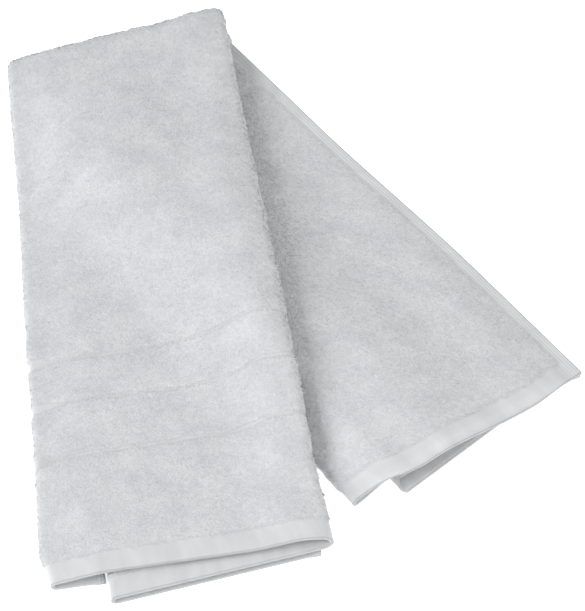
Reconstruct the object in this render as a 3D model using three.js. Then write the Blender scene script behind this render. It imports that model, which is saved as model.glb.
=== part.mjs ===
// Hand towel of white cotton terry, folded in three lengthwise and laid over on itself crosswise.
// The cloth is one rectangle with hemmed edges. Its long sides are turned in along three creases: a narrow
// flap under the left edge, then a right and a left crease, so that three layers lie on each other.
// The folded length is then laid over on a slanting line, so the front leg comes straight towards
// the viewer and lies partly on the back leg, which spreads to the right.
// Units are millimetres, +Z is up, -Y is the viewer's side, and the origin is at the middle of the underside.
import * as THREE from "three";
import { mergeVertices } from "three/addons/utils/BufferGeometryUtils.js";

// Cloth
const THICKNESS = 3.6;
const AIR = 1.0; // between two layers
const STEP = THICKNESS + AIR; // from the middle of a layer to the middle of the next
const HALF = THICKNESS / 2;
const CREASE = STEP / 2; // radius of the cloth's middle in a left crease
const ROUND = 4; // and in the right crease, which is looser
const STACK = 3 * THICKNESS + 2 * AIR; // height of three layers

// Crosswise fold
const INNER = 3.4; // radius inside the fold
const FOLD_TURN = THREE.MathUtils.degToRad(21.7); // the fold line's turn from the X axis, in plan
const LEG_TURN = THREE.MathUtils.degToRad(8.6); // the front leg's turn from the Y axis, in plan
const SLANT = FOLD_TURN - LEG_TURN; // between the fold line and a straight cut across the cloth
const FOLD_END = new THREE.Vector2(-173.96, 164.37); // left end of the fold line, in plan
const HALF_TURN = (Math.PI / 2) * (INNER + STACK / 2); // cloth used by each half of the fold

// Legs, measured along the cloth from the fold line
const FRONT_LENGTH = 410;
const FRONT_SKEW = 3.1; // how much less at the right edge
const BACK_LENGTH = 416.8;

// The four long lines of the folded cloth across each leg: the left crease of the top layer, the right
// crease, the left crease of the lower layers, and the free side of the lowest layer. flap is the width
// of the margin turned in at the left edge.
const ACROSS = {
  front: { left: 0.4, right: 150, turn: 35, free: 147, flap: 28 },
  fold: { left: 1.5, right: 147, turn: 31, free: 140.5, flap: 26 },
  back: { left: 11.5, right: 108, turn: -16, free: 146.5, flap: 20 },
};

// How far the hems of the hidden layers stand past the hem of the layer that shows
const UNDER_HEM = { frontLeft: 14, frontRight: 1.5, backLeft: 9, backRight: -2, flap: 1 };

// Where and how far the top layer's hem bows out on the back leg, as that layer is pulled less tight
const BOW = { past: 7, low: 30, high: 118, left: 44, right: 30 };

// Lengths over which a layer comes down from the edge of what lies under it
const FALL = { bridge: 66, flap: 30, inner: 60, left: 30, right: 38, outer: 20, sag: 34, settle: 95 };

// Where the creases of the back leg wander to their places at the hem, along the cloth from the fold
const WANDER = {
  flapFrom: 5,
  flapOver: 45,
  turnFrom: 45,
  turnOver: 150,
  leftFrom: 20,
  leftOver: 220,
  rightOver: 60,
  freeFrom: 150,
  freeOver: 170,
};

// Soft swellings: of the top layer along the front leg's right crease, which it rounds off by drop over the
// last width round, and of the back leg near its hem
const ROLL = { height: 4, from: 46, over: 34, drop: 3.2, round: 22 };
const BULGE = { height: 5, at: 40, left: 26, right: 48, from: 200, over: 130 };

// The front leg's hem: how far its left corner is drawn in and its right corner spreads, and how the layers
// at the left lie closer there
const CORNER = { inward: 4, over: 24 };
const FLARE = { outward: 6, over: 42 };
const LOOSE = { share: 0.35, over: 90 };

// Steps of the mesh across each panel and crease, and along each leg
const STEPS = { flap: 2, crease: 6, first: 10, second: 8, third: 8, front: 17, fold: 8, back: 15 };

const along = new THREE.Vector2(Math.cos(FOLD_TURN), Math.sin(FOLD_TURN));
const outward = new THREE.Vector2(-Math.sin(FOLD_TURN), Math.cos(FOLD_TURN));
const mix = THREE.MathUtils.lerp;
const ease = (value) => THREE.MathUtils.smoothstep(value, 0, 1);

// 1 between two edges, easing to 0 over a fall outside each of them.
function within(s, low, high, fallLow, fallHigh) {
  return ease((s - low + fallLow) / fallLow) * ease((high + fallHigh - s) / fallHigh);
}

// The long lines of the back leg at a distance from the fold line, and how far the flap lifts what covers it.
function backLines(distance) {
  const { fold, back } = ACROSS;
  const onward = THREE.MathUtils.clamp(distance / BACK_LENGTH, 0, 1);
  return {
    left: mix(fold.left, back.left, ease((distance - WANDER.leftFrom) / WANDER.leftOver)),
    right: mix(fold.right, back.right, 0.85 * onward + 0.15 * ease(distance / WANDER.rightOver)),
    turn: mix(fold.turn, back.turn, ease((distance - WANDER.turnFrom) / WANDER.turnOver)),
    free: mix(fold.free, back.free, ease((distance - WANDER.freeFrom) / WANDER.freeOver)),
    flap: mix(fold.flap, back.flap, onward),
    lift: ease((distance - WANDER.flapFrom) / WANDER.flapOver),
  };
}

// Heights above the table of the middles of the back leg's layers at one place.
function backHeights(s, distance) {
  const { left, right, turn, flap, lift } = backLines(distance);
  const onFirst = within(s, left, right, FALL.left, FALL.right);
  const onFlap = within(s, left, left + flap, FALL.flap, FALL.inner) * lift;
  const onSecond = within(s, turn, right, FALL.left, FALL.right);
  const across = within(s, BULGE.at, BULGE.at, BULGE.left, BULGE.right);
  const bulge = BULGE.height * across * ease((distance - BULGE.from) / BULGE.over);
  return [
    HALF + STEP,
    HALF,
    HALF + STEP * (onFirst + onFlap) + 0.6 * bulge,
    HALF + STEP * (onFirst + onFlap + onSecond) + bulge,
  ];
}

// Height of what the front leg lies on, at a point in plan: the back leg, with a long slope down from its
// left side to the table.
function support(point) {
  const from = point.clone().sub(FOLD_END);
  const g = from.dot(along);
  const e = HALF_TURN - from.dot(outward);
  const s = g * Math.cos(SLANT) - e * Math.sin(SLANT);
  const distance = g * Math.sin(SLANT) + e * Math.cos(SLANT);
  const { left, turn, free } = backLines(distance);
  const crest = Math.max(left + 5, turn);
  const clamped = THREE.MathUtils.clamp(s, crest, free);
  const top = backHeights(clamped, distance)[3] + HALF + AIR;
  const right = ease((free + FALL.outer - s) / FALL.outer);
  const end = ease((BACK_LENGTH + FALL.outer - distance) / FALL.outer);
  return top * ease((s - crest + FALL.bridge) / FALL.bridge) * right * end;
}

// The cloth's section across a leg, from the flap's free side to the free side of the lowest layer.
// layer counts from the flap: whole numbers are panels, halves are creases, where turn goes from 0 to pi
// and depth from one whole number to the next.
function section(lines) {
  const points = [];
  const panel = (layer, from, to, steps) => {
    for (let i = 0; i < steps; i++) {
      points.push({ s: mix(from, to, i / steps), layer, turn: 0, depth: layer });
    }
  };
  const crease = (layer, centre, reach) => {
    for (let i = 0; i < STEPS.crease; i++) {
      const turn = (Math.PI * i) / STEPS.crease;
      const depth = Math.floor(layer) + i / STEPS.crease;
      points.push({ s: centre + reach * Math.sin(turn), layer, turn, depth });
    }
  };
  const left = lines.left + CREASE;
  const right = lines.right - ROUND;
  const turned = lines.turn + CREASE;
  panel(0, lines.left + lines.flap, left, STEPS.flap);
  crease(0.5, left, -CREASE);
  panel(1, left, right, STEPS.first);
  crease(1.5, right, ROUND);
  panel(2, right, turned, STEPS.second);
  crease(2.5, turned, -CREASE);
  panel(3, turned, lines.free, STEPS.third);
  points.push({ s: lines.free, layer: 3, turn: 0, depth: 3 });
  return points;
}

// Height of a section point, given the heights of the flap and the three layers there.
function heightAt(point, heights) {
  const below = heights[Math.floor(point.layer)];
  const above = heights[Math.ceil(point.layer)];
  return mix(below, above, (1 - Math.cos(point.turn)) / 2);
}

// Heights within the stack on the front leg and in the fold. The top layer sags beside the lower ones and
// swells along the right crease.
function stackHeights(s, lines, sag, swelling) {
  const besideStack = 1 - ease((s - lines.turn + FALL.sag) / FALL.sag);
  const rounded = THREE.MathUtils.clamp((s - lines.right + ROLL.round) / ROLL.round, 0, 1);
  const rise = ROLL.height * ease((s - lines.right + ROLL.from) / ROLL.over);
  const roll = (rise - ROLL.drop * rounded * rounded) * swelling;
  return [
    HALF + STEP * (1 - sag),
    HALF + STEP * (2 - sag * besideStack) + roll,
    HALF + STEP,
    HALF,
  ];
}

function blendLines(from, to, share) {
  return {
    left: mix(from.left, to.left, share),
    right: mix(from.right, to.right, share),
    turn: mix(from.turn, to.turn, share),
    free: mix(from.free, to.free, share),
    flap: mix(from.flap, to.flap, share),
  };
}

// Distance along the cloth of a point at s whose distance square to the fold line is e.
const alongCloth = (s, e) => (e + s * Math.sin(SLANT)) / Math.cos(SLANT);

// Point in plan, given the place along the fold line and the distance out from it.
function inPlan(s, q, out) {
  const g = s * Math.cos(SLANT) + q * Math.sin(SLANT);
  return FOLD_END.clone().addScaledVector(along, g).addScaledVector(outward, out);
}

// Distance of the front hem from the fold line, with the lower layers' hem a little turned.
function frontHem(s, depth) {
  const top = -FRONT_LENGTH + (FRONT_SKEW * s) / ACROSS.front.right;
  const { right, turn } = ACROSS.front;
  const past = mix(UNDER_HEM.frontLeft, UNDER_HEM.frontRight, (s - turn) / (right - turn));
  return top - past * THREE.MathUtils.clamp(depth - 1, 0, 1);
}

// Distance of the back hem from the fold line, with the lowest layer's hem past the others at the left, and
// the top layer's hem bowed out.
function backHem(s, depth) {
  const { left, right } = ACROSS.back;
  const past = mix(UNDER_HEM.backLeft, UNDER_HEM.backRight, (s - left) / (right - left));
  if (depth < 1) return BACK_LENGTH + mix(UNDER_HEM.flap, past, depth);
  const lower = past * THREE.MathUtils.clamp(2 - depth, 0, 1);
  const bow = BOW.past * within(s, BOW.low, BOW.high, BOW.left, BOW.right);
  return BACK_LENGTH + lower + bow * THREE.MathUtils.clamp(depth - 2, 0, 1);
}

function frontStation(share) {
  const lines = blendLines(ACROSS.front, ACROSS.fold, share);
  lines.left += CORNER.inward * ease(1 - (FRONT_LENGTH * share) / CORNER.over);
  lines.right += FLARE.outward * ease(1 - (FRONT_LENGTH * share) / FLARE.over);
  const loose = LOOSE.share * ease((FRONT_LENGTH * share) / LOOSE.over);
  return section(lines).map((point) => {
    const hem = frontHem(point.s, point.depth);
    const q = mix(hem, alongCloth(point.s, -HALF_TURN), share);
    const e = q * Math.cos(SLANT) - point.s * Math.sin(SLANT);
    const place = inPlan(point.s, q, e + HALF_TURN);
    const settled = ease((-e - HALF_TURN) / FALL.settle);
    const heights = stackHeights(point.s, lines, 0.5 + (0.5 - loose) * settled, 1);
    const under = mix(2 * INNER + STACK, support(place), settled);
    return new THREE.Vector3(place.x, place.y, under + heightAt(point, heights));
  });
}

function foldStation(share) {
  const angle = Math.PI * (share - 0.5);
  return section(ACROSS.fold).map((point) => {
    const heights = stackHeights(point.s, ACROSS.fold, (1 - share) / 2, 1 - share);
    const radius = INNER + heightAt(point, heights);
    const q = alongCloth(point.s, HALF_TURN * (2 * share - 1));
    const place = inPlan(point.s, q, radius * Math.cos(angle));
    return new THREE.Vector3(place.x, place.y, STACK + INNER - radius * Math.sin(angle));
  });
}

function backStation(share) {
  const nominal = mix(alongCloth(ACROSS.fold.right / 2, HALF_TURN), BACK_LENGTH, share);
  return section(backLines(nominal)).map((point) => {
    const q = mix(alongCloth(point.s, HALF_TURN), backHem(point.s, point.depth), share);
    const e = q * Math.cos(SLANT) - point.s * Math.sin(SLANT);
    const place = inPlan(point.s, q, HALF_TURN - e);
    return new THREE.Vector3(place.x, place.y, heightAt(point, backHeights(point.s, q)));
  });
}

// All stations in order from the front hem over the fold to the back hem.
function middleOfCloth() {
  const rows = [];
  for (let i = 0; i < STEPS.front; i++) rows.push(frontStation(i / STEPS.front));
  for (let i = 0; i < STEPS.fold; i++) rows.push(foldStation(i / STEPS.fold));
  for (let i = 0; i <= STEPS.back; i++) rows.push(backStation(i / STEPS.back));
  return rows;
}

// Gives the middle surface its thickness on both sides and closes it round its edges.
function thicken(rows) {
  const high = rows.length;
  const wide = rows[0].length;
  const positions = [];
  for (const side of [HALF, -HALF]) {
    rows.forEach((row, j) =>
      row.forEach((point, i) => {
        const across = row[Math.min(i + 1, wide - 1)].clone().sub(row[Math.max(i - 1, 0)]);
        const onward = rows[Math.min(j + 1, high - 1)][i].clone().sub(rows[Math.max(j - 1, 0)][i]);
        const normal = across.cross(onward).normalize();
        positions.push(...point.clone().addScaledVector(normal, side).toArray());
      }),
    );
  }
  const faces = [];
  const quad = (a, b, c, d) => faces.push(a, b, c, a, c, d);
  const at = (j, i, under) => j * wide + i + (under ? high * wide : 0);
  for (let j = 0; j < high - 1; j++) {
    for (let i = 0; i < wide - 1; i++) {
      quad(at(j, i), at(j, i + 1), at(j + 1, i + 1), at(j + 1, i));
      quad(at(j, i, true), at(j + 1, i, true), at(j + 1, i + 1, true), at(j, i + 1, true));
    }
    quad(at(j, 0), at(j + 1, 0), at(j + 1, 0, true), at(j, 0, true));
    quad(at(j, wide - 1), at(j, wide - 1, true), at(j + 1, wide - 1, true), at(j + 1, wide - 1));
  }
  for (let i = 0; i < wide - 1; i++) {
    quad(at(0, i), at(0, i, true), at(0, i + 1, true), at(0, i + 1));
    quad(at(high - 1, i), at(high - 1, i + 1), at(high - 1, i + 1, true), at(high - 1, i, true));
  }
  const geometry = new THREE.BufferGeometry();
  geometry.setAttribute("position", new THREE.Float32BufferAttribute(positions, 3));
  geometry.setIndex(faces);
  return mergeVertices(geometry);
}

const towelCloth = new THREE.Mesh(
  thicken(middleOfCloth()),
  new THREE.MeshStandardMaterial({ color: "#e9eaec", roughness: 0.95, metalness: 0 }),
);
towelCloth.name = "towel_cloth";

const handTowel = new THREE.Group();
handTowel.name = "hand_towel";
handTowel.add(towelCloth);

export default handTowel;
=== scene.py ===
import math

import bpy
import numpy as np
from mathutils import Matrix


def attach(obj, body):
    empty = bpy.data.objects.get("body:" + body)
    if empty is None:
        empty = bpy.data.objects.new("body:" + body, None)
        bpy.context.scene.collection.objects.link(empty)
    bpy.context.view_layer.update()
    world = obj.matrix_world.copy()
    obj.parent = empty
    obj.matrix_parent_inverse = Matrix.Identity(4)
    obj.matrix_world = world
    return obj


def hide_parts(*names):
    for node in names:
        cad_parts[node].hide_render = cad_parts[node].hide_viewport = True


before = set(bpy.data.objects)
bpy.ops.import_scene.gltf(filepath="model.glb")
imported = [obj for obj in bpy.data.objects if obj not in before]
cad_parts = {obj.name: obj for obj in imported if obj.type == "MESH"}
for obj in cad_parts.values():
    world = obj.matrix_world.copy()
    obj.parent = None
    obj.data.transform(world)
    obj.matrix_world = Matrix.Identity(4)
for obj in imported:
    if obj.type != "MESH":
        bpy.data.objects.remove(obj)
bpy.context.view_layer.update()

bl_info = {
    "name": "Folded hand towel",
    "version": (1, 0, 0),
    "blender": (4, 5, 0),
    "location": "3D View > Sidebar > Towel",
    "description": "Terry hand towel, folded in three lengthwise and laid over crosswise, on a pale table",
    "category": "Object",
}

NODE = "towel_cloth"
MM = 0.001

# Cloth, in millimetres, as in the solid that the sheet replaces
THICKNESS = 3.6
AIR = 1.0  # between two layers
STEP = THICKNESS + AIR
HALF = THICKNESS / 2
WOVEN_HALF = 0.9  # half the thickness of the flat weave in hems and bands
CREASE = STEP / 2  # radius of the cloth's middle in a left crease
ROUND = 4.0  # and in the right crease, which is looser
STACK = 3 * THICKNESS + 2 * AIR

# Crosswise fold: its inner radius, its line's direction and left end in plan, and the legs' angle to it
INNER = 3.4
FOLD_TURN = math.radians(21.7)
SLANT = FOLD_TURN - math.radians(8.6)
FOLD_END = np.array([-173.96, 164.37])
HALF_TURN = math.pi / 2 * (INNER + STACK / 2)
ALONG = np.array([math.cos(FOLD_TURN), math.sin(FOLD_TURN)])
OUTWARD = np.array([-math.sin(FOLD_TURN), math.cos(FOLD_TURN)])
DRAWN_IN = {"inward": 3.0, "over": 20.0}  # the fold's ends, where it stands out most
SAG_AT_FOLD = 0.5  # share of a step by which the front leg's upper layers sink together at the fold

# Legs, along the cloth from the fold line
FRONT_LENGTH = 410.0
FRONT_SKEW = 3.1
BACK_LENGTH = 416.8

# Long lines across each leg: left crease, right crease, left crease of the lower layers, free side; flap is
# the width of the margin turned in at the left edge
FRONT_LINES = {"left": 0.4, "right": 150.0, "turn": 35.0, "free": 147.0, "flap": 28.0}
FOLD_LINES = {"left": 1.5, "right": 147.0, "turn": 31.0, "free": 140.5, "flap": 26.0}
BACK_LINES = {"left": 11.5, "right": 108.0, "turn": -16.0, "free": 146.5, "flap": 20.0}
# Where these lines shift on the back leg: distances from the fold, and the share of the right line's shift
# that comes early
WANDER = {"flap_from": 5.0, "flap_over": 45.0, "turn_from": 45.0, "turn_over": 150.0,
          "left_from": 20.0, "left_over": 220.0, "right_over": 60.0, "right_early": 0.15,
          "free_from": 150.0, "free_over": 170.0}

# How far the hems of the lower layers lie past that of the top one
UNDER_HEM = {"front_left": 14.0, "front_right": 1.5, "back_left": 9.0, "back_right": -2.0, "flap": 1.0}
# The back leg's top layer bows past its hem between low and high, easing over left and right, and droops by a
# share of its height from a little before the lower layers' hem
BOW = {"past": 6.0, "low": 30.0, "high": 104.0, "left": 44.0, "right": 44.0, "droop": 0.18, "before": 1.0}
# Widths over which upper layers ease down beside lower ones. Bridge is the front leg's slope off the back
# leg, from a crest this far inside the back leg's left crease. Settle is the length in which the front leg
# comes to rest.
FALL = {"bridge": 66.0, "crest": 5.0, "flap": 30.0, "inner": 60.0, "left": 30.0, "right": 50.0, "outer": 20.0,
        "sag": 34.0, "settle": 95.0}
# Soft ridge along the front leg's right crease: less of it at the fold, more of it above the hem
ROLL = {"height": 4.0, "from": 46.0, "over": 34.0, "drop": 3.2, "round": 22.0,
        "at_fold": 0.4, "from_fold": 110.0,
        "more": 0.6, "low": 60.0, "high": 140.0, "fall_low": 45.0, "fall_high": 60.0}
# Bulge of the back leg, and the share of it that shows in the layer below
BULGE = {"height": 3.4, "at": 48.0, "left": 34.0, "right": 66.0, "from": 200.0, "over": 130.0, "below": 0.6}
CORNER = {"inward": 4.0, "over": 24.0}  # how the left corner of the front hem is drawn in
FLARE = {"outward": 3.0, "over": 50.0}  # and how its right corner spreads
LOOSE = {"share": 0.35, "over": 90.0}  # how the left edge lies looser away from the front hem

# Weave, in millimetres from the cut's edges
END_HEM = 13.0
SIDE_HEM = 8.5
SEAM = {"roll": 1.3, "stitches": 2.0}  # how far the side hem's edge is rolled up; spacing of its seams
PILE_SLOPE = 2.0  # width in which the pile ends at a hem
BANDS = (79.0, 117.0, 149.5)  # middles of the narrow woven bands, from the front hem
BAND = {"half": 0.8, "at_crease": 2.4, "depth": 0.8, "slope": 1.2}  # wider round the left crease
LEFT_CREASE = (24.0, 36.0, 6.0, 8.0)  # across the cloth: from, to, and how far its widening eases out

# Random variation of weave and pile: amount, size of its waves in millimetres, seed
VARIATION = {
    "thick_a": (0.34, 4.2, 1), "thick_b": (0.26, 9.0, 2), "thick_c": (0.2, 2.7, 3), "thick_d": (0.3, 27.0, 4),
    "ragged": (0.8, 3.0, 11),
    "stray": (0.9, 7.0, 21), "shiver": (0.4, 2.5, 61),
    "half": (0.3, 26.0, 31), "depth": (0.3, 19.0, 41),
}
LATTICE = 257  # points of the lattice each way before it repeats

# Rows of the mesh along the cloth: steps on each part, and their spacing where they follow the weft near the
# front hem, closer together in the hem and the bands
ROWS = {"front": 65, "fold": 14, "back": 103, "back_hem": 15}
BACK_ROWS = ROWS["back"] + ROWS["back_hem"]
SPACING = {"close": 1.1, "wide": 2.7, "past_hem": 3.0, "from_band": 5.5}
THREADED = 190.0  # how far from the front hem rows follow the weft
HEM_ROWS = 30.0  # and from the back hem

# Columns of the mesh across each panel and crease, and how they crowd towards the free side
COLUMNS = {"flap": 7, "crease": 9, "first": 58, "second": 20, "third": 56}
CROWDING = 1.35

# Tufts that stand out of the pile. Each is a small clump of loops, as single ones would be too fine to show.
# They lean from the surface's normal in degrees; lengths and thicknesses are shares of the nominal ones, and
# sunk and lowest are in millimetres.
TUFTS_PER_MM2 = 0.7
TUFTS_A_PIECE = 24500
TUFT = {"lean": (58, 87), "length": (0.6, 1.15), "size": (0.7, 1.2), "on_pile": (0.3, 0.95),
        "sunk": 0.35, "set_back": 0.35, "waist": 0.55, "rounding": 0.3, "lowest": 0.1, "least_rise": 0.3}
# Where the pile ends at an end hem there are more of them, and they lean over the flat weave
FRINGE = {"more": 3.0, "past_hem": 5.0, "past_side": 4.0, "outward": 8}
COVERED = 14.0  # tufts of the back leg reach this far in under the front leg

# Faces of one tuft: its foot is point 0, its tip point 1, and its waist the other four
TUFT_FACES = np.array([[0, 3, 2], [0, 4, 3], [0, 5, 4], [0, 2, 5],
                       [1, 2, 3], [1, 3, 4], [1, 4, 5], [1, 5, 2]])
TUFT_POINTS = 6

# Patterns of the terry, in millimetres
LOOP_SPACING = 1.3
CLUMP = 3.5
PATCH = 22  # in which the pile lies one way
RIB = 1.0  # threads of the flat weave are really about half as far apart, which would be too fine to show
RUBBED = 9  # between the streaks of a hem
EDGE_SHADE_WIDTH = 1.1  # width along the cut's edge in which painted shade darkens the hem
WAVE_AT_SCALE_1 = 0.314  # a wave texture's own spacing, in its units

# Stage: places and sizes of the lights in metres
KEY_LIGHT = {"place": (-2.5, -1.0, 1.7), "size": 1.8, "colour": "#ffffff"}
FILL_LIGHT = {"place": (1.15, -0.95, 0.85), "size": 1.2, "colour": "#fffdf8"}

# Camera, matched to the photograph's outline
CAMERA_AT = (11.44, -22.63)  # what the middle of the picture looks at, in plan
CAMERA_DISTANCE = 1045.0
CAMERA_ELEVATION = math.radians(47.5)
LONG_SIDE_VIEW = math.radians(20.0)


def linear(text, alpha=1.0):
    """sRGB hex to linear colour."""
    values = [int(text[i:i + 2], 16) / 255 for i in (1, 3, 5)]
    return tuple(v / 12.92 if v <= 0.04045 else ((v + 0.055) / 1.055) ** 2.4 for v in values) + (alpha,)


def ease(x):
    """0 to 1 with level ends: 3x^2 - 2x^3."""
    x = np.clip(x, 0.0, 1.0)
    return x * x * (3 - 2 * x)


def within(s, low, high, fall_low, fall_high):
    """1 between low and high, eased to 0 over a fall outside each."""
    return ease((s - low + fall_low) / fall_low) * ease((high + fall_high - s) / fall_high)


def blend_lines(a, b, share):
    """Each of the long lines, a share of the way from its place in a to its place in b."""
    return {key: a[key] + (b[key] - a[key]) * share for key in a}


def back_lines(distance):
    """Long lines of the back leg at a distance from the fold line: each eases from its place in the fold to
    its place at the hem over a stretch of its own."""
    a, b = FOLD_LINES, BACK_LINES
    onward = np.clip(distance / BACK_LENGTH, 0, 1)
    early = WANDER["right_early"]
    shares = {
        "left": ease((distance - WANDER["left_from"]) / WANDER["left_over"]),
        "right": (1 - early) * onward + early * ease(distance / WANDER["right_over"]),
        "turn": ease((distance - WANDER["turn_from"]) / WANDER["turn_over"]),
        "free": ease((distance - WANDER["free_from"]) / WANDER["free_over"]),
        "flap": onward,
    }
    return {key: a[key] + (b[key] - a[key]) * share for key, share in shares.items()}


def back_heights(s, distance):
    """Middles of flap, first, second and third layer above the table: half a layer, plus one step for each
    layer underneath, where that layer is, easing down outside its edges. Past the lower layers' hem the top
    layer droops."""
    lines = back_lines(distance)
    lift = ease((distance - WANDER["flap_from"]) / WANDER["flap_over"])
    on_first = within(s, lines["left"], lines["right"], FALL["left"], FALL["right"])
    on_flap = within(s, lines["left"], lines["left"] + lines["flap"], FALL["flap"], FALL["inner"]) * lift
    on_second = within(s, lines["turn"], lines["right"], FALL["left"], FALL["right"])
    bulge = BULGE["height"] * within(s, BULGE["at"], BULGE["at"], BULGE["left"], BULGE["right"])
    bulge = bulge * ease((distance - BULGE["from"]) / BULGE["over"])
    droop = 1 - BOW["droop"] * ease((distance - BACK_LENGTH + BOW["before"]) / BOW["past"])
    zero = 0 * s
    return np.stack([
        HALF + STEP + zero,
        HALF + zero,
        HALF + STEP * (on_first + on_flap) + BULGE["below"] * bulge,
        HALF + (STEP * (on_first + on_flap + on_second) + bulge) * droop,
    ])


def support(place):
    """Height of what the front leg lies on: the back leg's top, with a long slope down from its left side."""
    off = place - FOLD_END
    g = off @ ALONG
    e = HALF_TURN - off @ OUTWARD
    s = g * math.cos(SLANT) - e * math.sin(SLANT)
    distance = g * math.sin(SLANT) + e * math.cos(SLANT)
    lines = back_lines(distance)
    crest = np.maximum(lines["left"] + FALL["crest"], lines["turn"])
    top = back_heights(np.clip(s, crest, lines["free"]), distance)[3] + HALF + AIR
    right = ease((lines["free"] + FALL["outer"] - s) / FALL["outer"])
    end = ease((BACK_LENGTH + FALL["outer"] - distance) / FALL["outer"])
    return top * ease((s - crest + FALL["bridge"]) / FALL["bridge"]) * right * end


def stack_heights(s, lines, sag, swelling):
    """Heights of the layers on the front leg and in the fold; the top layer sags beside the lower ones and
    swells along the right crease."""
    beside = 1 - ease((s - lines["turn"] + FALL["sag"]) / FALL["sag"])
    rounded = np.clip((s - lines["right"] + ROLL["round"]) / ROLL["round"], 0, 1)
    rise = ROLL["height"] * ease((s - lines["right"] + ROLL["from"]) / ROLL["over"])
    roll = (rise - ROLL["drop"] * rounded ** 2) * swelling
    zero = 0 * s
    return np.stack([
        HALF + STEP * (1 - sag) + zero,
        HALF + STEP * (2 - sag * beside) + roll,
        HALF + STEP + zero,
        HALF + zero,
    ])


def section(lines):
    """Points across a leg: straight panels joined by half-turn creases. Gives s and depth,
    which counts panels from the flap and goes from one whole number to the next through a crease.
    Towards the free side the points stand closer, as a power of the share that is left."""
    left, right, turned = lines["left"] + CREASE, lines["right"] - ROUND, lines["turn"] + CREASE
    shares = np.arange(COLUMNS["crease"]) / COLUMNS["crease"]

    def panel(layer, start, stop, count, last=False):
        share = np.linspace(0, 1, count, endpoint=last)
        if last:
            share = 1 - (1 - share) ** CROWDING
        s = start + (stop - start) * share
        return np.stack([s, np.full_like(s, layer)])

    def crease(layer, centre, reach):
        return np.stack([centre + reach * np.sin(math.pi * shares), layer + shares])

    return np.concatenate([
        panel(0, lines["left"] + lines["flap"], left, COLUMNS["flap"]),
        crease(0, left, -CREASE),
        panel(1, left, right, COLUMNS["first"]),
        crease(1, right, ROUND),
        panel(2, right, turned, COLUMNS["second"]),
        crease(2, turned, -CREASE),
        panel(3, turned, lines["free"], COLUMNS["third"], last=True),
    ], axis=1)


def height_at(depth, heights):
    """Height of section points: a crease goes from one layer's height to the next on a half circle."""
    column = np.arange(len(depth))
    lower = np.floor(depth).astype(int)
    below = heights[lower, column]
    above = heights[np.ceil(depth).astype(int), column]
    return below + (above - below) * (1 - np.cos(math.pi * (depth - lower))) / 2


def along_cloth(s, e):
    """Distance along the warp of a point that is s across the cloth and e square off the fold line."""
    return (e + s * math.sin(SLANT)) / math.cos(SLANT)


def in_plan(s, q, out):
    """Place on the table of a point s across and q along the cloth, moved out square from the fold line."""
    g = s * math.cos(SLANT) + q * math.sin(SLANT)
    return FOLD_END + g[:, None] * ALONG + out[:, None] * OUTWARD


def front_hem(s, depth):
    """Where the front leg ends: a straight, slightly skew line, and past it for the lower layers."""
    top = -FRONT_LENGTH + FRONT_SKEW * s / FRONT_LINES["right"]
    share = (s - FRONT_LINES["turn"]) / (FRONT_LINES["right"] - FRONT_LINES["turn"])
    past = UNDER_HEM["front_left"] + (UNDER_HEM["front_right"] - UNDER_HEM["front_left"]) * share
    return top - past * np.clip(depth - 1, 0, 1)


def back_hem(s, depth):
    """Where the back leg ends: the lower layers past a straight line, the top one past it in a bow."""
    share = (s - BACK_LINES["left"]) / (BACK_LINES["right"] - BACK_LINES["left"])
    past = UNDER_HEM["back_left"] + (UNDER_HEM["back_right"] - UNDER_HEM["back_left"]) * share
    flap = UNDER_HEM["flap"] + (past - UNDER_HEM["flap"]) * depth
    bow = BOW["past"] * within(s, BOW["low"], BOW["high"], BOW["left"], BOW["right"])
    upper = past * np.clip(2 - depth, 0, 1) + bow * np.clip(depth - 2, 0, 1)
    return BACK_LENGTH + np.where(depth < 1, flap, upper)


def front_row(from_hem, share):
    """A row of the front leg: from_hem along the warp from the hem, then share of the way to the fold."""
    progress = (from_hem + (FRONT_LENGTH - from_hem) * share) / FRONT_LENGTH
    to_hem = FRONT_LENGTH * progress
    lines = blend_lines(FRONT_LINES, FOLD_LINES, progress)
    lines["left"] += CORNER["inward"] * ease(1 - to_hem / CORNER["over"])
    lines["right"] += FLARE["outward"] * ease(1 - to_hem / FLARE["over"])
    loose = LOOSE["share"] * ease(to_hem / LOOSE["over"])
    s, depth = section(lines)
    start = front_hem(s, depth) + from_hem
    q = start + (along_cloth(s, -HALF_TURN) - start) * share
    e = q * math.cos(SLANT) - s * math.sin(SLANT)
    place = in_plan(s, q, e + HALF_TURN)
    settled = ease((-e - HALF_TURN) / FALL["settle"])
    swelling = 1 - (1 - ROLL["at_fold"]) * ease(1 - FRONT_LENGTH * (1 - progress) / ROLL["from_fold"])
    above_hem = within(to_hem, ROLL["low"], ROLL["high"], ROLL["fall_low"], ROLL["fall_high"])
    swelling = swelling + ROLL["more"] * above_hem
    heights = stack_heights(s, lines, SAG_AT_FOLD + (1 - SAG_AT_FOLD - loose) * settled, swelling)
    under = (2 * INNER + STACK) * (1 - settled) + support(place) * settled
    return np.column_stack([place, under + height_at(depth, heights)])


def fold_row(share):
    """A row in the crosswise fold: the section turned about the fold's axis by share of half a turn."""
    angle = math.pi * (share - 0.5)
    s, depth = section(FOLD_LINES)
    heights = stack_heights(s, FOLD_LINES, SAG_AT_FOLD * (1 - share), ROLL["at_fold"] * (1 - share))
    radius = INNER + height_at(depth, heights)
    middle = (FOLD_LINES["left"] + FOLD_LINES["right"]) / 2
    near_end = np.clip((np.abs(s - middle) - middle + DRAWN_IN["over"]) / DRAWN_IN["over"], 0, 1)
    s = s - np.sign(s - middle) * DRAWN_IN["inward"] * math.cos(angle) ** 2 * near_end
    place = in_plan(s, along_cloth(s, HALF_TURN * (2 * share - 1)), radius * math.cos(angle))
    return np.column_stack([place, STACK + INNER - radius * math.sin(angle)])


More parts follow.
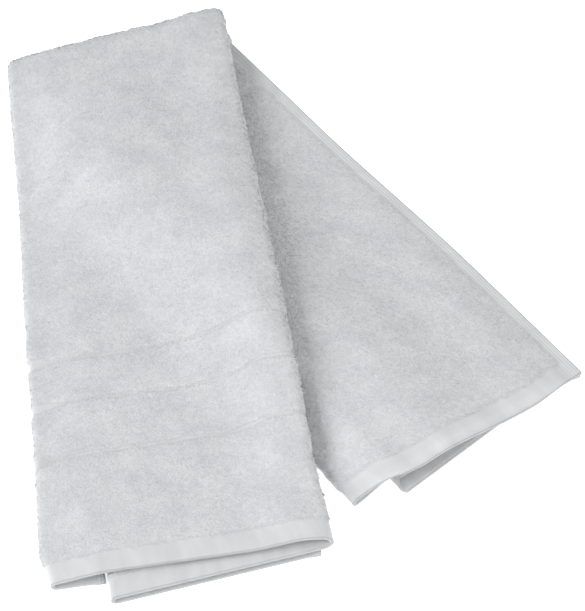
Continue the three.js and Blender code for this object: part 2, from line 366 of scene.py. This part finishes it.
def back_row(share, to_hem):
    """A row of the back leg: share of the way from the fold to the row that is to_hem before the hem."""
    first = along_cloth(FOLD_LINES["right"] / 2, HALF_TURN)
    nominal = first + (BACK_LENGTH - to_hem - first) * share
    s, depth = section({key: float(v) for key, v in back_lines(np.array(nominal)).items()})
    start = along_cloth(s, HALF_TURN)
    q = start + (back_hem(s, depth) - to_hem - start) * share
    e = q * math.cos(SLANT) - s * math.sin(SLANT)
    place = in_plan(s, q, HALF_TURN - e)
    return np.column_stack([place, height_at(depth, back_heights(s, q))])


def hem_distances():
    """Distances of the rows from the front hem: close together in the hem and the bands."""
    marks = [0.0]
    while marks[-1] < THREADED:
        here = marks[-1]
        near = min(abs(here - band) for band in BANDS)
        close = here < END_HEM + SPACING["past_hem"] or near < SPACING["from_band"]
        marks.append(here + SPACING["close" if close else "wide"])
    return marks


def middle_of_cloth():
    """All rows of the cloth's middle surface, from the front hem over the fold to the back hem."""
    marks = hem_distances()
    rows = [front_row(mark, 0.0) for mark in marks]
    rows += [front_row(marks[-1], share) for share in np.linspace(0, 1, ROWS["front"] + 1)[1:-1]]
    rows += [fold_row(share) for share in np.linspace(0, 1, ROWS["fold"] + 1)[:-1]]
    rows += [back_row(share, HEM_ROWS) for share in np.linspace(0, 1, ROWS["back"] + 1)[:-1]]
    rows += [back_row(1.0, to_hem) for to_hem in np.linspace(HEM_ROWS, 0, ROWS["back_hem"])]
    return np.array(rows)


def cloth_coordinates(middle):
    """Distance across and along the cloth at each point: lengths summed along rows and along columns."""
    across = np.linalg.norm(np.diff(middle, axis=1), axis=2)
    onward = np.linalg.norm(np.diff(middle, axis=0), axis=2)
    u = np.concatenate([np.zeros((len(middle), 1)), np.cumsum(across, axis=1)], axis=1)
    v = np.concatenate([np.zeros((1, middle.shape[1])), np.cumsum(onward, axis=0)], axis=0)
    return u, v


def value_noise(u, v, size, seed):
    """Smooth random values in -1 to 1 on a lattice of the given size, eased between its points."""
    rng = np.random.default_rng(seed)
    table = rng.random((LATTICE, LATTICE)) * 2 - 1
    x, y = u / size, v / size
    i, j = np.floor(x).astype(int), np.floor(y).astype(int)
    fx, fy = ease(x - i), ease(y - j)
    a, b = table[i % LATTICE, j % LATTICE], table[(i + 1) % LATTICE, j % LATTICE]
    c, d = table[i % LATTICE, (j + 1) % LATTICE], table[(i + 1) % LATTICE, (j + 1) % LATTICE]
    return (a * (1 - fx) + b * fx) * (1 - fy) + (c * (1 - fx) + d * fx) * fy


def varied(u, v, name, band=0):
    """One of the random variations over the cloth: its amount times smooth noise, each band with its own."""
    amount, size, seed = VARIATION[name]
    return amount * value_noise(u, v, size, seed + band)


def pile_share(u, v, wide, long):
    """1 where loops stand, 0 on the flat woven hems and bands, eased over a ragged edge. A band's line strays
    a little, and its width and depth vary."""
    ragged = varied(u, v, "ragged")
    side = ease((np.minimum(u, wide - u) - SIDE_HEM + ragged) / PILE_SLOPE + 0.5)
    end = ease((np.minimum(v, long - v) - END_HEM + ragged) / PILE_SLOPE + 0.5)
    share = side * end
    for k, band in enumerate(BANDS):
        lean = varied(u, v, "stray", k) + varied(u, v, "shiver", k)
        half = BAND["half"] + varied(u, v, "half", k) + BAND["at_crease"] * within(u, *LEFT_CREASE)
        depth = np.clip(BAND["depth"] + varied(u, v, "depth", k), 0, 1)
        share = share * (1 - within(v + lean, band - half, band + half, BAND["slope"], BAND["slope"]) * depth)
    return share


def normals_of(middle):
    """Unit normals of a grid of points: the cross product of its differences across and along."""
    normal = np.cross(np.gradient(middle, axis=1), np.gradient(middle, axis=0))
    return normal / np.linalg.norm(normal, axis=2, keepdims=True)


class Cloth:
    """The folded sheet as arrays in millimetres: middle, normals, cloth coordinates and its two sides."""

    def __init__(self):
        self.middle = middle_of_cloth()
        self.normal = normals_of(self.middle)
        self.u, self.v = cloth_coordinates(self.middle)
        self.wide, self.long = self.u[:, -1:], self.v[-1:, :]
        self.pile = pile_share(self.u, self.v, self.wide, self.long)
        self.from_side = np.minimum(self.u, self.wide - self.u)
        self.from_end = np.minimum(self.v, self.long - self.v)
        lumps = sum(varied(self.u, self.v, name) for name in ("thick_a", "thick_b", "thick_c", "thick_d"))
        woven = WOVEN_HALF + SEAM["roll"] * ease(1 - self.from_side / SIDE_HEM)
        self.offset = woven + (HALF - woven + lumps) * self.pile

    def side(self, sign):
        """Points of one side, pressed flat where they lie on the table."""
        points = self.middle + sign * self.offset[:, :, None] * self.normal
        points[:, :, 2] = np.maximum(points[:, :, 2], 0)
        return points


def sample(grid, row, column):
    """Values of a grid between its points: bilinear in the row and column numbers."""
    j, i = np.floor(row).astype(int), np.floor(column).astype(int)
    fj, fi = row - j, column - i
    if grid.ndim == 3:
        fj, fi = fj[:, None], fi[:, None]
    low = grid[j, i] * (1 - fi) + grid[j, i + 1] * fi
    high = grid[j + 1, i] * (1 - fi) + grid[j + 1, i + 1] * fi
    return low * (1 - fj) + high * fj


def scatter(area, count, rng):
    """Random rows and columns on a grid, as many on each cell as its area's share of the whole."""
    cells = rng.choice(area.size, count, p=(area / area.sum()).ravel())
    row, column = np.unravel_index(cells, area.shape)
    return row + rng.random(count), column + rng.random(count)


def in_the_open(points):
    """True but for points that lie, in plan, well inside the front leg's outline."""
    place = points[:, :2] - FOLD_END
    g, e = place @ ALONG, place @ OUTWARD - HALF_TURN
    s = g * math.cos(SLANT) - e * math.sin(SLANT)
    q = g * math.sin(SLANT) + e * math.cos(SLANT)
    return (s < COVERED) | (s > FRONT_LINES["right"] - COVERED) | (q < COVERED - FRONT_LENGTH)


def everywhere(points):
    """True for all points."""
    return np.ones(len(points), bool)


def unit(vectors):
    """Vectors divided by their lengths."""
    return vectors / np.linalg.norm(vectors, axis=-1, keepdims=True)


def tufts(cloth, size, sign, rows, columns, seed, wanted):
    """Points, faces, cloth coordinates and normals of tufts on one side of a part of the cloth. Each is a
    slim double pyramid with four sides: its middle line leans out of the surface in a random direction, near
    an end hem mostly towards the hem, its waist is as wide and high as size gives, and its lower end is sunk
    in the pile. Its normals keep close to the surface's, as a tuft of soft thread has no hard sides."""
    rng = np.random.default_rng(seed)
    surface = cloth.side(sign)[rows, columns]
    upward = sign * cloth.normal[rows, columns]
    pile = cloth.pile[rows, columns]
    side_a = np.diff(surface, axis=1)[:-1]
    side_b = np.diff(surface, axis=0)[:, :-1]
    area = np.linalg.norm(np.cross(side_a, side_b), axis=2)
    at_hem = cloth.from_end[rows, columns] < END_HEM + FRINGE["past_hem"]
    edge = 4 * pile * (1 - pile) * (cloth.from_side[rows, columns] > SIDE_HEM + FRINGE["past_side"]) * at_hem
    area = area * (1 + FRINGE["more"] * edge[:-1, :-1])
    row, column = scatter(area, int(area.sum() * TUFTS_PER_MM2), rng)
    keep = sample(pile, row, column) > rng.uniform(*TUFT["on_pile"], len(row))
    row, column = row[keep], column[keep]
    base = sample(surface, row, column)
    keep = wanted(base) & (sample(upward, row, column)[:, 2] > TUFT["least_rise"])
    row, column, base = row[keep], column[keep], base[keep]
    normal = unit(sample(upward, row, column))
    around = sample(np.gradient(surface, axis=0), row, column)
    around = unit(around - (around * normal).sum(1, keepdims=True) * normal)
    across = np.cross(normal, around)
    turn = rng.uniform(0, 2 * math.pi, len(base))[:, None]
    lean = np.radians(rng.uniform(*TUFT["lean"], len(base)))[:, None]
    outward = -sample(np.gradient(pile, axis=0) * at_hem, row, column)[:, None]
    flat = unit(np.cos(turn) * around + np.sin(turn) * across + FRINGE["outward"] * outward * around)
    middle = np.cos(lean) * normal + np.sin(lean) * flat
    first = unit(np.cross(middle, normal))
    second = np.cross(middle, first)
    length = size["length"] * rng.uniform(*TUFT["length"], len(base))[:, None]
    thick = rng.uniform(*TUFT["size"], len(base))[:, None]
    wide, high = thick * size["width"] / 2 * first, thick * size["height"] / 2 * second
    foot = base - TUFT["sunk"] * normal - TUFT["set_back"] * length * np.sin(lean) * flat
    waist = foot + TUFT["waist"] * length * middle
    corners = [foot, foot + length * middle, waist + wide, waist + high, waist - wide, waist - high]
    points = np.stack(corners, axis=1).reshape(-1, 3)
    points[:, 2] = np.maximum(points[:, 2], TUFT["lowest"])
    sides = [-middle, middle, first, second, -first, -second]
    normals = np.stack([normal + TUFT["rounding"] * side for side in sides], axis=1).reshape(-1, 3)
    faces = (TUFT_FACES[None] + TUFT_POINTS * np.arange(len(base))[:, None, None]).reshape(-1, 3)
    u = sample(cloth.u[rows, columns], row, column)
    v = sample(cloth.v[rows, columns], row, column)
    return points, faces, np.repeat(np.stack([u, v], 1), TUFT_POINTS, axis=0), normals


def new_mesh(name, points, faces, uv=None, smooth=True, normals=None):
    """An object at the origin from points in millimetres and faces that all have the same number of corners,
    with cloth coordinates as its UV map and its own normals where they are given."""
    mesh = bpy.data.meshes.new(name)
    mesh.vertices.add(len(points))
    mesh.vertices.foreach_set("co", (np.asarray(points) * MM).astype(np.float32).ravel())
    mesh.loops.add(faces.size)
    mesh.loops.foreach_set("vertex_index", faces.ravel().astype(np.int32))
    mesh.polygons.add(len(faces))
    mesh.polygons.foreach_set("loop_start", np.arange(0, faces.size, faces.shape[1], dtype=np.int32))
    mesh.update(calc_edges=True)
    if uv is not None:
        layer = mesh.uv_layers.new(name="Cloth")
        layer.data.foreach_set("uv", uv[faces.ravel()].astype(np.float32).ravel())
    mesh.validate()
    if smooth:
        mesh.shade_smooth()
    if normals is not None:
        mesh.normals_split_custom_set_from_vertices(unit(normals))
    obj = bpy.data.objects.new(name, mesh)
    bpy.context.scene.collection.objects.link(obj)
    return obj


def add_values(obj, name, values):
    """Stores one number for each point, which the material reads by name."""
    layer = obj.data.attributes.new(name, "FLOAT", "POINT")
    layer.data.foreach_set("value", values.astype(np.float32))


def shell_faces(high, wide):
    """Quads of a closed sheet: both sides of the grid and a rim round its edges."""
    index = np.arange(high * wide).reshape(high, wide)
    a, b, c, d = index[:-1, :-1], index[:-1, 1:], index[1:, 1:], index[1:, :-1]
    over = np.stack([a, b, c, d], -1).reshape(-1, 4)
    under = np.stack([a, d, c, b], -1).reshape(-1, 4) + high * wide
    ring = np.concatenate([index[0, :], index[1:, -1], index[-1, -2::-1], index[-2:0:-1, 0]])
    after = np.roll(ring, -1)
    rim = np.stack([after, ring, ring + high * wide, after + high * wide], -1)
    return np.concatenate([over, under, rim])


def add_node(tree, kind, place, settings=None, links=None):
    """Adds a node, sets its properties and input values, and links its inputs from output sockets."""
    node = tree.nodes.new(kind)
    node.location = place
    for key, value in (settings or {}).items():
        if isinstance(key, int) or key in node.inputs:
            node.inputs[key].default_value = value
        else:
            setattr(node, key, value)
    for key, source in (links or {}).items():
        tree.links.new(source, node.inputs[key])
    return node


def terry_material(settings):
    """White cotton terry, woven with loops on both sides and washed: soft, matte, finely mottled, with a pale
    sheen at grazing angles; painted shade darkens the pile between its loops and the hems along the cut's
    edge.
    Hems and bands are flat rib weave of a more even tone."""
    material = bpy.data.materials.new("white_cotton_terry_woven_loops")
    material.use_nodes = True
    tree = material.node_tree
    tree.nodes.clear()
    cloth = add_node(tree, "ShaderNodeUVMap", (-1400, 0), {"uv_map": "Cloth"}).outputs["UV"]
    places = {"pile": (-1100, -600), "from_side": (-1400, -1000), "from_end": (-1400, -1550)}
    pile, from_side, from_end = [
        add_node(tree, "ShaderNodeAttribute", place, {"attribute_name": name}).outputs["Fac"]
        for name, place in places.items()]
    # Loops in clumps, with patches where they lie one way or the other
    loops = add_node(tree, "ShaderNodeTexVoronoi", (-1100, 200),
                     {"feature": "F1", "Scale": 1 / (LOOP_SPACING * MM)}, {"Vector": cloth})
    clumps = add_node(tree, "ShaderNodeTexNoise", (-1100, -100),
                      {"Scale": 1 / (CLUMP * MM), "Detail": 3.0, "Roughness": 0.6}, {"Vector": cloth})
    patches = add_node(tree, "ShaderNodeTexNoise", (-1100, -350),
                       {"Scale": 1 / (PATCH * MM), "Detail": 3.0}, {"Vector": cloth})
    height = add_node(tree, "ShaderNodeMath", (-850, 100), {"operation": "SUBTRACT"},
                      {0: clumps.outputs["Fac"], 1: loops.outputs["Distance"]})
    # Ribs of the flat weave run along the warp
    weave = add_node(tree, "ShaderNodeTexWave", (-1100, -800),
                     {"bands_direction": "X", "Scale": WAVE_AT_SCALE_1 / (RIB * MM), "Distortion": 0.4,
                      "Detail": 1.0}, {"Vector": cloth})
    ribs = add_node(tree, "ShaderNodeMath", (-850, -500), {"operation": "MULTIPLY", 1: 0.12},
                    {0: weave.outputs["Fac"]})
    # Seams run along the side hem
    seams = add_node(tree, "ShaderNodeMath", (-1100, -1000),
                     {"operation": "PINGPONG", 1: SEAM["stitches"] / 2}, {0: from_side})
    sewn = add_node(tree, "ShaderNodeMath", (-1100, -1150), {"operation": "LESS_THAN", 1: SIDE_HEM},
                    {0: from_side})
    seams = add_node(tree, "ShaderNodeMath", (-850, -1000), {"operation": "MULTIPLY"},
                     {0: seams.outputs[0], 1: sewn.outputs[0]})
    ribs = add_node(tree, "ShaderNodeMath", (-850, -650), {"operation": "MULTIPLY_ADD", 1: 0.6},
                    {0: seams.outputs[0], 2: ribs.outputs[0]})
    surface = add_node(tree, "ShaderNodeMix", (-600, 0), {"data_type": "FLOAT"},
                       {0: pile, 2: ribs.outputs[0], 3: height.outputs[0]})
    bump = add_node(tree, "ShaderNodeBump", (-350, -200), {"Strength": 0.42, "Distance": 0.8 * MM},
                    {"Height": surface.outputs[0]})
    # Painted shade and light: the pile's colour darkens between loops and clumps and lightens on their tops,
    # with random patches of lighter and darker tone over it
    tone = add_node(tree, "ShaderNodeMath", (-600, 300), {"operation": "MULTIPLY_ADD", 1: 0.5, 2: -0.05},
                    {0: height.outputs[0]})
    shade = add_node(tree, "ShaderNodeMath", (-350, 350), {"operation": "MULTIPLY_ADD", 1: 1.0},
                     {0: patches.outputs["Fac"], 2: tone.outputs[0]})
    ramp = add_node(tree, "ShaderNodeValToRGB", (-100, 300), None, {"Fac": shade.outputs[0]})
    ends = ((0.15, settings.painted_shade_colour), (0.8, settings.pile_colour))
    for element, (position, tint) in zip(ramp.color_ramp.elements, ends):
        element.position = position
        element.color = tint
    # Hems are rubbed in streaks along the warp
    stretched = add_node(tree, "ShaderNodeMapping", (-1400, -1300),
                         {"Scale": (1.0, 0.3, 1.0)}, {"Vector": cloth})
    streaks = add_node(tree, "ShaderNodeTexNoise", (-1100, -1300),
                       {"Scale": 1 / (RUBBED * MM), "Detail": 2.0}, {"Vector": stretched.outputs[0]})
    rubbed = add_node(tree, "ShaderNodeMath", (-850, -1300), {"operation": "MULTIPLY_ADD", 1: 0.3, 2: 0.85},
                      {0: streaks.outputs["Fac"]})
    # Painted shade: the hem darkens towards the cut's edge, where its rim faces out and down
    nearest = add_node(tree, "ShaderNodeMath", (-1100, -1550),
                       {"operation": "MINIMUM"}, {0: from_end, 1: from_side})
    rim = add_node(tree, "ShaderNodeMapRange", (-850, -1550),
                   {"From Max": EDGE_SHADE_WIDTH, "To Min": 0.74, "To Max": 1.0}, {"Value": nearest.outputs[0]})
    # Wear streaks times the painted shade at the cut's edge
    wear_and_edge_shade = add_node(tree, "ShaderNodeMath", (-600, -1400), {"operation": "MULTIPLY"},
                    {0: rubbed.outputs[0], 1: rim.outputs[0]})
    hem = add_node(tree, "ShaderNodeVectorMath", (-100, 50),
                   {"operation": "SCALE", 0: settings.hem_colour[:3]}, {"Scale": wear_and_edge_shade.outputs[0]})
    colour = add_node(tree, "ShaderNodeMix", (200, 300), {"data_type": "RGBA"},
                      {0: pile, 6: hem.outputs[0], 7: ramp.outputs["Color"]})
    # Where the pile ends, the foot of its edge is in shade
    edge = add_node(tree, "ShaderNodeMath", (-350, 550), {"operation": "PINGPONG", 1: 0.5}, {0: pile})
    shaded = add_node(tree, "ShaderNodeMath", (-100, 550), {"operation": "MULTIPLY_ADD", 1: -0.26, 2: 1.0},
                      {0: edge.outputs[0]})
    colour = add_node(tree, "ShaderNodeVectorMath", (400, 400), {"operation": "SCALE"},
                      {0: colour.outputs[2], "Scale": shaded.outputs[0]})
    # Cotton thread is rough, with little gloss and a soft sheen of fibre ends
    shader = add_node(tree, "ShaderNodeBsdfPrincipled", (450, 100),
                      {"Roughness": 0.95, "Specular IOR Level": 0.2,
                       "Sheen Weight": 0.25, "Sheen Roughness": 0.5},
                      {"Base Color": colour.outputs[0], "Normal": bump.outputs["Normal"]})
    add_node(tree, "ShaderNodeOutputMaterial", (750, 100), None, {"Surface": shader.outputs[0]})
    return material


def table_material():
    """White acrylic sheet lit from below: no shadow shows on it, and the towel's edges stay light."""
    material = bpy.data.materials.new("white_acrylic_lit_from_below")
    material.use_nodes = True
    shader = material.node_tree.nodes["Principled BSDF"]
    shader.inputs["Base Color"].default_value = linear("#fbfbfb")
    shader.inputs["Roughness"].default_value = 0.9
    shader.inputs["Emission Color"].default_value = linear("#ffffff")
    shader.inputs["Emission Strength"].default_value = 0.55
    return material


class TowelSettings(bpy.types.PropertyGroup):
    """Colours of the terry and sizes of its tufts"""
    pile_colour: bpy.props.FloatVectorProperty(
        name="Pile colour", description="Colour of the loops' tops",
        subtype="COLOR", size=4, min=0, max=1, default=linear("#d4d5d7"))
    # Painted shade: the colour the pile takes between its loops
    painted_shade_colour: bpy.props.FloatVectorProperty(
        name="Pile shade", description="Colour between the loops",
        subtype="COLOR", size=4, min=0, max=1, default=linear("#c2c3c6"))
    hem_colour: bpy.props.FloatVectorProperty(
        name="Hem colour", description="Colour of the flat woven hems and bands",
        subtype="COLOR", size=4, min=0, max=1, default=linear("#cbccce"))
    tuft_length: bpy.props.FloatProperty(
        name="Tuft length", description="Nominal length of a tuft of loops", default=2.9 * MM, unit="LENGTH")
    tuft_width: bpy.props.FloatProperty(
        name="Tuft width", description="Width of a tuft's waist", default=1.2 * MM, unit="LENGTH")
    tuft_height: bpy.props.FloatProperty(
        name="Tuft height", description="Thickness of a tuft's waist", default=0.55 * MM, unit="LENGTH")


class StageSettings(bpy.types.PropertyGroup):
    """Size of the table and strength of the lights"""
    table_size: bpy.props.FloatProperty(
        name="Table size", description="Side of the square table top", default=6.0, unit="LENGTH")
    key_power: bpy.props.FloatProperty(
        name="Key light", description="Power of the large soft light", default=68.0, unit="POWER")
    fill_power: bpy.props.FloatProperty(
        name="Fill light", description="Power of the light from the other side", default=12.0, unit="POWER")
    sky: bpy.props.FloatProperty(
        name="Surroundings", description="Strength of the light from all round", default=0.62)


class TOWEL_OT_cloth(bpy.types.Operator):
    """Makes the folded terry sheet and puts it in the place of its solid"""
    bl_idname = "towel.cloth"
    bl_label = "Make the cloth"

    def execute(self, context):
        cloth = Cloth()
        points = np.concatenate([cloth.side(1).reshape(-1, 3), cloth.side(-1).reshape(-1, 3)])
        uv = np.stack([cloth.u, cloth.v], -1).reshape(-1, 2) * MM
        towel = new_mesh("terry_towel", points, shell_faces(*cloth.u.shape), np.concatenate([uv, uv]))
        for name in ("pile", "from_side", "from_end"):
            add_values(towel, name, np.tile(getattr(cloth, name).ravel(), 2))
        towel.data.materials.append(terry_material(context.scene.towel_settings))
        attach(towel, "root")
        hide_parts(NODE)
        return {"FINISHED"}


class TOWEL_OT_pile(bpy.types.Operator):
    bl_idname = "towel.pile"
    bl_label = "Make the pile"

    def execute(self, context):
        cloth = Cloth()
        settings = context.scene.towel_settings
        size = {key: getattr(settings, f"tuft_{key}") / MM for key in ("length", "width", "height")}
        towel = bpy.data.objects["terry_towel"]
        pieces = self.pile_pieces(cloth, size, towel.data.materials[0])
        return {"FINISHED"}

    def pile_pieces(self, cloth, size, terry):
        """The tufts of the two faces that show, split into pieces of a size that can be kept: the first panel
        with its creases on the front leg, and the third panel's other side on the back leg."""
        high, wide = cloth.u.shape
        turned = high - BACK_ROWS
        second = COLUMNS["flap"] + 2 * COLUMNS["crease"] + COLUMNS["first"]
        first_panel = slice(COLUMNS["flap"], second + 1)
        third_panel = slice(second + COLUMNS["second"], wide)
        areas = {
            "front": (1, slice(0, turned), first_panel, 5, everywhere),
            "back": (-1, slice(turned, high), third_panel, 6, in_the_open),
        }
        pieces = []
        for name, area in areas.items():
            points, faces, uv, normals = tufts(cloth, size, *area)
            count = len(points) // TUFT_POINTS
            for n, start in enumerate(range(0, count, TUFTS_A_PIECE)):
                stop = min(start + TUFTS_A_PIECE, count)
                part = slice(TUFT_POINTS * start, TUFT_POINTS * stop)
                own = faces[len(TUFT_FACES) * start:len(TUFT_FACES) * stop] - part.start
                piece = new_mesh(f"pile_{name}_{n + 1}", points[part], own, uv[part] * MM,
                                 normals=normals[part])
                add_values(piece, "pile", np.ones(part.stop - part.start))
                piece.visible_shadow = False
                piece.data.materials.append(terry)
                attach(piece, "root")
                pieces.append(piece)
        return pieces


class TOWEL_OT_stage(bpy.types.Operator):
    """Makes the pale table, the soft lights and the camera"""
    bl_idname = "towel.stage"
    bl_label = "Make the stage"

    def execute(self, context):
        scene = context.scene
        settings = scene.stage_settings
        side = settings.table_size / 2 / MM
        corners = np.array([[-side, -side, 0], [side, -side, 0], [side, side, 0], [-side, side, 0]])
        table = new_mesh("table_top", corners, np.array([[0, 1, 2, 3]]), smooth=False)
        table.data.materials.append(table_material())
        world = bpy.data.worlds.new("soft_surroundings")
        world.use_nodes = True
        sky = world.node_tree.nodes["Background"]
        sky.inputs["Color"].default_value = linear("#fafbfc")
        sky.inputs["Strength"].default_value = settings.sky
        scene.world = world
        self.lamp("key_light", settings.key_power, **KEY_LIGHT)
        self.lamp("fill_light", settings.fill_power, **FILL_LIGHT)
        camera = bpy.data.cameras.new("camera")
        camera.sensor_width = 36.0
        camera.lens = camera.sensor_width / (2 * math.tan(LONG_SIDE_VIEW / 2))
        camera.clip_start = 0.05
        seen = bpy.data.objects.new("camera", camera)
        seen.location = (
            CAMERA_AT[0] * MM,
            (CAMERA_AT[1] - CAMERA_DISTANCE * math.cos(CAMERA_ELEVATION)) * MM,
            CAMERA_DISTANCE * math.sin(CAMERA_ELEVATION) * MM,
        )
        seen.rotation_euler = (math.pi / 2 - CAMERA_ELEVATION, 0, 0)
        scene.collection.objects.link(seen)
        scene.camera = seen
        scene.view_settings.view_transform = "Standard"
        return {"FINISHED"}

    def lamp(self, name, power, place, size, colour):
        """A square area light that faces the middle of the table."""
        light = bpy.data.lights.new(name, "AREA")
        light.energy = power
        light.size = size
        light.color = linear(colour)[:3]
        lamp = bpy.data.objects.new(name, light)
        x, y, z = place
        lamp.location = place
        lamp.rotation_euler = (math.atan2(math.hypot(x, y), z), 0, math.atan2(-x, y) + math.pi)
        bpy.context.scene.collection.objects.link(lamp)


class TOWEL_PT_panel(bpy.types.Panel):
    """Lists the settings and the operators"""
    bl_idname = "TOWEL_PT_panel"
    bl_label = "Folded hand towel"
    bl_space_type = "VIEW_3D"
    bl_region_type = "UI"
    bl_category = "Towel"

    def draw(self, context):
        for settings in (context.scene.towel_settings, context.scene.stage_settings):
            for name in settings.__annotations__:
                self.layout.prop(settings, name)
        for operator in OPERATORS:
            self.layout.operator(operator.bl_idname)


OPERATORS = (TOWEL_OT_stage, TOWEL_OT_cloth, TOWEL_OT_pile)
CLASSES = (TowelSettings, StageSettings) + OPERATORS + (TOWEL_PT_panel,)


def register():
    for entry in CLASSES:
        bpy.utils.register_class(entry)
    bpy.types.Scene.towel_settings = bpy.props.PointerProperty(type=TowelSettings)
    bpy.types.Scene.stage_settings = bpy.props.PointerProperty(type=StageSettings)


def unregister():
    del bpy.types.Scene.stage_settings
    del bpy.types.Scene.towel_settings
    for entry in reversed(CLASSES):
        bpy.utils.unregister_class(entry)


def main():
    register()
    bpy.ops.towel.stage()
    bpy.ops.towel.cloth()
    bpy.ops.towel.pile()


if __name__ == "__main__":
    main()
